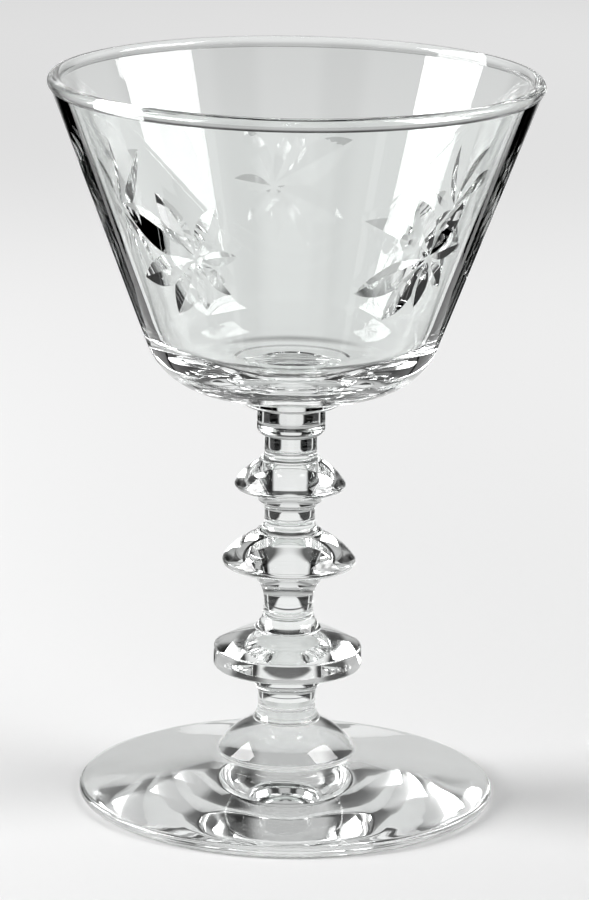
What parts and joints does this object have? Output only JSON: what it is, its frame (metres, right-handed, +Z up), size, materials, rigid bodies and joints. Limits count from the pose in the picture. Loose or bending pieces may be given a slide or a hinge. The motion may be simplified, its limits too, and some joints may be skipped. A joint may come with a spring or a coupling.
{
  "type": "cocktail glass",
  "caption": "Clear stem glass for short drinks: flared bowl with a rolled rim and cut leaf sprays, on a stem of stacked wafers and necks over a wide round foot.",
  "frame": {"origin": "centre of the foot's standing ring, on the surface that the glass stands on", "axes": "+Z up the stem to the open bowl; X and Y across the glass, which is round"},
  "size_m": [0.08, 0.08, 0.1204],
  "materials": {
    "foot_glass": "fire polished, clear",
    "stem_glass": "fire polished, clear",
    "bowl_glass": "fire polished, clear, with polished wheel cuts"
  },
  "bodies": {
    "root": {"foot": "foot_glass", "foot_collar": "stem_glass", "fourth_spool": "stem_glass", "lower_wafer": "stem_glass", "third_spool": "stem_glass", "middle_wafer": "stem_glass", "second_spool": "stem_glass", "upper_wafer": "stem_glass", "upper_spool": "stem_glass", "bowl_collar": "stem_glass", "bowl": "bowl_glass"}
  },
  "joints": []
}
